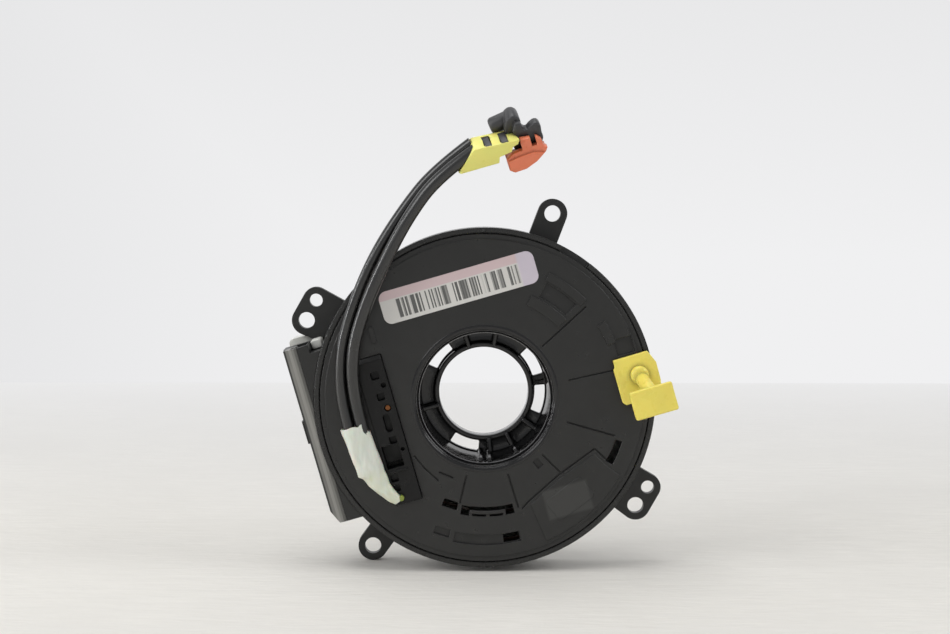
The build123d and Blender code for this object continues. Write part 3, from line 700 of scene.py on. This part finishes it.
class CLOCKSPRING_OT_plug(bpy.types.Operator):
    """Shapes the pale plug with its open windows, its sliding lock and the dark shorting piece"""

    bl_idname = "clockspring.plug"
    bl_label = "Plug"

    def execute(self, context):
        finishes = settings()[0]
        shell = moulding("plug_shell", "plug_housing")
        for window in WINDOWS:
            cut_away(shell, prism("window", window, into_plug, CUT_START, -WINDOW_DEPTH))
        cut_away(shell, prism("corner", CORNER, into_plug, CUT_START, -CORNER_DEPTH))
        round_edges(shell, 0.00035)
        pale = moulded(
            "plug_plastic", tuple(finishes.plug), 0.34, 0.00001, 0.04,
            Subsurface_Weight=0.1, Subsurface_Scale=0.002,
        )
        assign(pale.material, shell)
        stands_for(shell, "rotor", "plug_yellow", "plug_housing")

        contacts = []
        for window in WINDOWS:
            back = -WINDOW_DEPTH - CONTACT_OVERLAP
            slab = prism("contact", window, into_plug, -CONTACT_DEPTH, back)
            contacts.append(round_edges(slab, 0.0002, 2))
        carrier = joined("plug_contacts", *contacts)
        dark = moulded("nose_plastic", tuple(finishes.nose), 0.36, 0.00002, 0.14)
        assign(dark.material, carrier)
        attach(carrier, "rotor")

        slide = moulding("plug_slide", "plug_lock")
        cut_away(slide, prism("behind", BEHIND_LINK, on_plug, *BEHIND_LINK_DEPTHS))
        round_edges(slide, 0.0005)
        orange = moulded(
            "lock_plastic", tuple(finishes.lock), 0.32, 0.00002, 0.08,
            Subsurface_Weight=0.1, Subsurface_Scale=0.001,
        )
        assign(orange.material, slide)
        stands_for(slide, "plug_lock", "lock_orange", "plug_lock")

        link = prism("link", SHORTING_LINK, on_plug, *SHORTING_LINK_DEPTHS)
        round_edges(link, 0.0011, 4)
        neck = prism("neck", SHORTING_NECK, on_plug, *SHORTING_NECK_DEPTHS)
        round_edges(neck, 0.0011, 4)
        start, end = (on_plug(*point) for point in SHORTING_KNOB)
        knob = round_edges(rod("knob", start, end, SHORTING_KNOB_RADIUS, 40), 0.0012, 4)
        shorting = joined("plug_shorting_piece", link, neck, knob)
        assign(dark.material, shorting)
        stands_for(shorting, "rotor", "plug_black", "plug_nose")
        return {"FINISHED"}


# ---------------------------------------------------------------- transport clip
CLIP_PLATE = (  # in the unit's own axes, millimetres
    (41.2, 0.6), (41.2, -1.7), (40.6, -2.2), (40.6, -12.8), (41.6, -13.9), (53.0, -13.6),
    (53.9, -9.2), (54.0, -3.4), (52.3, 0.65),
)
CLIP_PLATE_HEIGHTS = (24.1, 22.3)
TONGUE_TOP = 23
TONGUE_PLACE = (45.0, -7.0)
TONGUE_SECTION = (3.6, 5.0)
BOSS = ((47.9, -5.6, 23.4), (48.0, -5.9, 26.6))
BOSS_RADIUS = 0.0028
STEM = ((48.0, -6.2, 23.8), (49.2, -10.9, 34.8))
STEM_RADIUS = 0.0021
GRIP_PROFILE = (  # across the grip, and height
    (-8.85, 34.0), (-8.85, 36.1), (-14.0, 35.45), (-17.75, 36.1), (-17.75, 34.0),
)
GRIP_ENDS = (42.5, 56.0)


def across_grip(y, height, x):
    """Place in metres of a point of the grip's profile, at x along the grip."""
    return on_unit(x, y, height)


class CLOCKSPRING_OT_clip(bpy.types.Operator):
    """Shapes the yellow transport clip: plate, tongue, boss, leaning stem and grip"""

    bl_idname = "clockspring.clip"
    bl_label = "Transport clip"

    def execute(self, context):
        finishes = settings()[0]
        tongue_end = -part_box("lock_clip")[1].y * MILLIMETRES
        plate = round_edges(prism("plate", CLIP_PLATE, on_unit, *CLIP_PLATE_HEIGHTS), 0.0006, 4)
        middle = (*TONGUE_PLACE, (tongue_end + TONGUE_TOP) / 2)
        tongue = block("tongue", middle, (*TONGUE_SECTION, TONGUE_TOP - tongue_end))
        round_edges(tongue, 0.0003)
        boss = rod("boss", *(on_unit(*point) for point in BOSS), BOSS_RADIUS, 40)
        round_edges(boss, 0.0011, 4)
        stem = rod("stem", *(on_unit(*point) for point in STEM), STEM_RADIUS)
        round_edges(stem, 0.0004)
        grip = prism("grip", GRIP_PROFILE, across_grip, *GRIP_ENDS)
        round_edges(grip, 0.0007, 4, 20)
        clip = joined("clip_with_grip", plate, tongue, boss, stem, grip)
        yellow = moulded(
            "clip_plastic", tuple(finishes.clip), 0.3, 0.00001, 0.05,
            Subsurface_Weight=0.1, Subsurface_Scale=0.002,
        )
        assign(yellow.material, clip)
        stands_for(clip, "transport_clip", "clip_yellow", "lock_clip")
        return {"FINISHED"}


# ---------------------------------------------------------------- sleeve
# Left and right edge down the sleeve in the unit's own axes, and half thickness, in millimetres.
SLEEVE_EDGES = (
    (-45.5, 3.5, -37.1, 3.7, 2.85),
    (-45.1, -0.1, -36.8, 0.4, 2.85),
    (-44.8, -5.1, -36.5, -4.6, 2.8),
    (-44.4, -9.1, -36.0, -8.6, 2.75),
    (-44.2, -12.2, -35.8, -12.1, 2.65),
    (-42.9, -13.1, -35.5, -13.7, 2.4),
    (-41.8, -16.0, -35.3, -16.4, 2.2),
    (-39.8, -18.7, -34.7, -18.7, 2.0),
    (-37.5, -21.8, -33.8, -20.6, 1.6),
    (-35.4, -23.5, -32.8, -22.3, 1.2),
)
SLEEVE_HEIGHT = 25.2
SLEEVE_ROWS = 72
SLEEVE_COLUMNS = 64
SLEEVE_WALL = 0.0004
CREASES = (  # depth in millimetres, and creases to a millimetre along x, y and the height
    (0.35, (0.45, 0.16, 0.3)),
    (0.22, (1.1, 0.5, 1)),
    (0.1, (2.6, 1.6, 2)),
)


def along_edges(share):
    """Edges of the sleeve at a share of its length, between the measured places."""
    spot = share * (len(SLEEVE_EDGES) - 1)
    first = min(int(spot), len(SLEEVE_EDGES) - 2)
    upper, lower = SLEEVE_EDGES[first : first + 2]
    return [a + (b - a) * (spot - first) for a, b in zip(upper, lower)]


def torn_rim(across):
    """How far down the sleeve its torn rim starts, in millimetres.

    The place across the sleeve is -1 at its left edge and 1 at its right edge.
    """
    if across < 0.25:
        return 0.12 * noise.noise((across * 3, 0, 0))
    if across < 0.5:
        return 0.9 * (1 - abs(across - 0.37) / 0.13)
    return -0.9 * (across - 0.5)


def on_sleeve(turn, share):
    """Place in metres of a point at a turn round the sleeve and a share of its length."""
    x1, y1, x2, y2, thick = along_edges(share)
    across, out = cos(turn), sin(turn)
    flat = abs(out) ** 0.75 * (1 if out > 0 else -1)
    drop = torn_rim(across) * (1 - share) ** 12
    x = (x1 + x2) / 2 + (x2 - x1) / 2 * across
    y = (y1 + y2) / 2 + (y2 - y1) / 2 * across - drop
    height = SLEEVE_HEIGHT + thick * flat
    crease = 0
    for depth, (along_x, along_y, up) in CREASES:
        crease += depth * noise.noise((x * along_x, y * along_y, height * up))
    return on_unit(x + crease * across * 0.6, y, height + crease * out * 1.4)


def sleeve_finish(finishes):
    """Milky film, streaked, with its lower part yellowed."""
    film = Finish(
        "sleeve_film", tuple(finishes.sleeve), 0.34, Subsurface_Weight=0.25, Subsurface_Scale=0.002
    )
    lower = film.ramp(film.own_axes()["Z"], -0.0105, -0.0135)
    shade = film.ramp(film.noise(1.0, 4, 0.6, film.mapped(ROLL, (520, 300, 90))), 0.3, 0.7)
    upper = film.mix(shade, film.tone(0.88), film.tone(1.06))
    worn = film.mix(shade, tuple(finishes.sleeve_tip), film.tone(1.02))
    film.colour_from(film.mix(lower, upper, worn))
    film.normal_from(film.bump(shade, 0.00008, 0.6))
    return film


class CLOCKSPRING_OT_sleeve(bpy.types.Operator):
    """Shapes the pale shrunk sleeve over the lead's lower end, creased and drawn in to a tip"""

    bl_idname = "clockspring.sleeve"
    bl_label = "Sleeve"

    def execute(self, context):
        finishes = settings()[0]
        sleeve = made(
            "shrunk_sleeve", bpy.ops.mesh.primitive_grid_add,
            x_subdivisions=SLEEVE_COLUMNS, y_subdivisions=SLEEVE_ROWS, size=1,
        )
        for vertex in sleeve.data.vertices:
            vertex.co = on_sleeve(2 * pi * (vertex.co.x + 0.5), 0.5 - vertex.co.y)
        bpy.ops.object.mode_set(mode="EDIT")
        bpy.ops.mesh.select_all(action="SELECT")
        bpy.ops.mesh.remove_doubles(threshold=0.00002)
        bpy.ops.mesh.normals_make_consistent(inside=False)
        bpy.ops.mesh.vertices_smooth(factor=0.5, repeat=2)
        bpy.ops.object.mode_set(mode="OBJECT")
        wall = sleeve.modifiers.new("wall", "SOLIDIFY")
        wall.thickness = SLEEVE_WALL
        wall.offset = -1
        bpy.ops.object.modifier_apply(modifier="wall")
        bpy.ops.object.shade_smooth_by_angle(angle=radians(40))
        assign(sleeve_finish(finishes).material, sleeve)
        stands_for(sleeve, "rotor", "sleeve_white", "upper_sleeve", "lower_sleeve")
        return {"FINISHED"}


# ---------------------------------------------------------------- label
# Places on the label in the unit's own axes, in metres.
LABEL_BARS = (-0.018, 0.021)
LABEL_BAR_HEIGHT = (0.0315, 0.0375)
LABEL_BAR = 0.00042
LABEL_STRIP = 0.0378
LABEL_END = 0.0212
LABEL_BLUR = 0.0002


def printed_label(finishes):
    """Glossy label with a tinted strip, a tinted end and plain bars, and no lettering."""
    paper = Finish("label_paper", tuple(finishes.paper), 0.22, Coat_Weight=0.5, Coat_Roughness=0.08)
    turned = paper.own_axes()
    along, up = turned["X"], turned["Z"]

    def step(source, edge, blur=0.00012):
        """Rises from 0 to 1 at an edge."""
        return paper.ramp(source, edge - blur, edge + blur)

    def between(source, low, high):
        """1 from low to high, and 0 outside."""
        falling = paper.ramp(source, high, high - LABEL_BLUR)
        return paper.combine("MULTIPLY", step(source, low), falling)

    number = paper.add("ShaderNodeMath", operation="FLOOR")
    paper.link(paper.combine("MULTIPLY", along, 1 / LABEL_BAR), number.inputs[0])
    pick = paper.add("ShaderNodeTexWhiteNoise", noise_dimensions="1D")  # one value for each bar
    paper.link(number.outputs[0], pick.inputs["W"])
    bars = paper.ramp(pick.outputs["Value"], 0.3, 0.6)
    bars = paper.combine("MULTIPLY", bars, between(along, *LABEL_BARS))
    bars = paper.combine("MULTIPLY", bars, between(up, *LABEL_BAR_HEIGHT))
    cloud = paper.ramp(paper.noise(120, 3), 0.35, 0.65)
    print_on = paper.mix(cloud, paper.tone(0.97), paper.tone(1.02))
    print_on = paper.mix(step(up, LABEL_STRIP), print_on, tuple(finishes.print_pink))
    print_on = paper.mix(step(along, LABEL_END, 0.0004), print_on, tuple(finishes.print_lilac))
    paper.colour_from(paper.mix(bars, print_on, tuple(finishes.print_bars)))
    paper.normal_from(paper.bump(paper.noise(260, 2), 0.00002, 0.4))
    return paper


# ---------------------------------------------------------------- finishes of the CAD nodes
# Places of painted changes in the unit's own axes, in metres.
PATCH = (("X", 0.0085, 0.0235), ("Z", -0.0425, -0.0325))
PATCH_BLUR = 0.0008
PATCH_TONE = 2.7
COVER_EDGE = (-0.0557, -0.0554)
# Painted highlight: lighter lines along the cover's lid.
COVER_HIGHLIGHT_LINES = ((-0.0546, -0.0545), (-0.0535, -0.0537))
COVER_STEP = (-0.0526, -0.0529)
# Painted shade: socket pins below this height take the housing's black.
PAINTED_PIN_SHADE = (-0.008, -0.0085)
LIP_RADIUS = 0.0224
LIP_THICKNESS = 0.0012
LIP_DEPTH = -0.0212


def disc_finish(finishes):
    """Plastic of the turning disc, with its paler patch."""
    face = moulded("disc_plastic", tuple(finishes.housing), 0.34, 0.00002, 0.12, 0.0004)
    own = face.own_axes()
    sides = []
    for axis, low, high in PATCH:
        for edge, inside in ((low, low + PATCH_BLUR), (high, high - PATCH_BLUR)):
            sides.append(face.ramp(own[axis], edge, inside))
    patch = sides[0]
    for side in sides[1:]:
        patch = face.combine("MINIMUM", patch, side)
    face.colour_from(face.mix(patch, face.present_colour(), face.tone(PATCH_TONE)))
    return face


def cover_highlight_finish(finishes):
    """Connector cover whose pale grey is painted highlight for light on its bevelled lid, with
    painted highlight lines along the lid.
    """
    strip = moulded("cover_painted_highlight", tuple(finishes.cover), 0.36)
    across = strip.own_axes()["X"]
    body = strip.present_colour()
    body = strip.mix(strip.ramp(across, *COVER_STEP), strip.tone(0.62), body)
    # Painted highlight: a lighter line along the lid.
    highlight_line = strip.combine("MINIMUM", *(strip.ramp(across, *side) for side in COVER_HIGHLIGHT_LINES))
    body = strip.mix(highlight_line, body, strip.tone(1.35))
    edge = strip.ramp(across, *COVER_EDGE)
    strip.colour_from(strip.mix(edge, tuple(finishes.housing), body))
    return strip


def pin_finish(finishes):
    """Copper of the socket's contacts, painted dark as shade on those that lie low in the pocket.
    """
    pins = moulded("contact_copper", tuple(finishes.copper), 0.3, 0.00001, 0.1, Metallic=1.0)
    # Painted shade: pins low in the pocket are coloured black.
    pin_shade = pins.ramp(pins.own_axes()["Z"], *PAINTED_PIN_SHADE)
    pins.colour_from(pins.mix(pin_shade, pins.tone(1.0), tuple(finishes.housing)))
    return pins


def mouth_lip(material):
    """Small glossy lip round the hub's mouth."""
    lip = made(
        "hub_lip", bpy.ops.mesh.primitive_torus_add,
        major_radius=LIP_RADIUS, minor_radius=LIP_THICKNESS, major_segments=128,
        minor_segments=20, rotation=(pi / 2, 0, 0), location=(0, LIP_DEPTH, 0),
    )
    bpy.ops.object.mode_set(mode="EDIT")
    bpy.ops.transform.resize(value=(1, 0.8, 1))
    bpy.ops.object.mode_set(mode="OBJECT")
    settle(lip)
    bpy.ops.object.shade_smooth()
    assign(material, lip)
    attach(lip, "rotor")


class CLOCKSPRING_OT_finishes(bpy.types.Operator):
    """Gives every moulded piece, pin and film its finish"""

    bl_idname = "clockspring.finishes"
    bl_label = "Finishes"

    def execute(self, context):
        finishes = settings()[0]
        black, grey = tuple(finishes.housing), tuple(finishes.connector)
        dress(moulded("housing_plastic", black, 0.42), "rear_plate", "connector_box")
        dress(moulded("case_plastic", black, 0.26, 0.00001, 0.12, 0.0007), "case_ring")
        # Painted shade: the socket's darker black stands for the shade of its recess.
        socket = moulded(
            "socket_plastic_painted_shade", tuple(finishes.socket), 0.34, 0.00001, 0.1, 0.0005,
            Specular_IOR_Level=0.3,
        )
        dress(socket, "switch_socket")
        dress(disc_finish(finishes), "rotor_disc")
        dress(cover_highlight_finish(finishes), "connector_cover")
        hub = round_edges(moulding("turning_hub", "rotor_hub"), 0.0004, clamp=False)
        gloss = moulded("hub_plastic", tuple(finishes.hub), 0.14, 0.00001, 0.1, 0.0006)
        assign(gloss.material, hub)
        stands_for(hub, "rotor", "hub_gloss", "rotor_hub")
        mouth_lip(gloss.material)
        pale = moulded("connector_plastic", grey, 0.4, 0.00001, 0.04)
        dress(pale, "stator_connector", "box_key")
        dress(moulded("gland_plastic", tuple(finishes.grommet), 0.4), "lead_gland")
        tin = moulded("pin_tin", tuple(finishes.tin), 0.25, 0.00001, 0.05, Metallic=1.0)
        dress(tin, "stator_pins")
        dress(pin_finish(finishes), "socket_pins")
        dress(moulded("glide_film", grey, 0.3, 0.00001, 0.05), "glide_sheet")
        # Painted shade: the ribbon's amber is darkened so it reads dark in the disc's slots.
        dress(moulded("ribbon_film_painted_shade", tuple(finishes.ribbon), 0.22, 0.00001, 0.1), "ribbon_cable")
        dress(printed_label(finishes), "label")
        return {"FINISHED"}


# ---------------------------------------------------------------- panel and registration
STEPS = (
    CLOCKSPRING_OT_camera,
    CLOCKSPRING_OT_plug,
    CLOCKSPRING_OT_lead,
    CLOCKSPRING_OT_sleeve,
    CLOCKSPRING_OT_clip,
    CLOCKSPRING_OT_finishes,
    CLOCKSPRING_OT_stage,
)


class CLOCKSPRING_PT_panel(bpy.types.Panel):
    """Buttons for the steps, in the order in which they run"""

    bl_idname = "CLOCKSPRING_PT_panel"
    bl_label = "Clock spring"
    bl_space_type = "VIEW_3D"
    bl_region_type = "UI"
    bl_category = "Clock spring"

    def draw(self, context):
        for step in STEPS:
            self.layout.operator(step.bl_idname)


GROUPS = {
    "clock_spring_finishes": ClockSpringFinishes,
    "clock_spring_stage": ClockSpringStage,
    "clock_spring_sizes": ClockSpringSizes,
}
CLASSES = (*GROUPS.values(), *STEPS, CLOCKSPRING_PT_panel)


def register():
    for cls in CLASSES:
        bpy.utils.register_class(cls)
    for name, group in GROUPS.items():
        setattr(bpy.types.Scene, name, bpy.props.PointerProperty(type=group))


def unregister():
    for name in GROUPS:
        delattr(bpy.types.Scene, name)
    for cls in reversed(CLASSES):
        bpy.utils.unregister_class(cls)


def main():
    register()
    bpy.ops.clockspring.camera()
    bpy.ops.clockspring.plug()
    bpy.ops.clockspring.lead()
    bpy.ops.clockspring.sleeve()
    bpy.ops.clockspring.clip()
    bpy.ops.clockspring.finishes()
    bpy.ops.clockspring.stage()


if __name__ == "__main__":
    main()
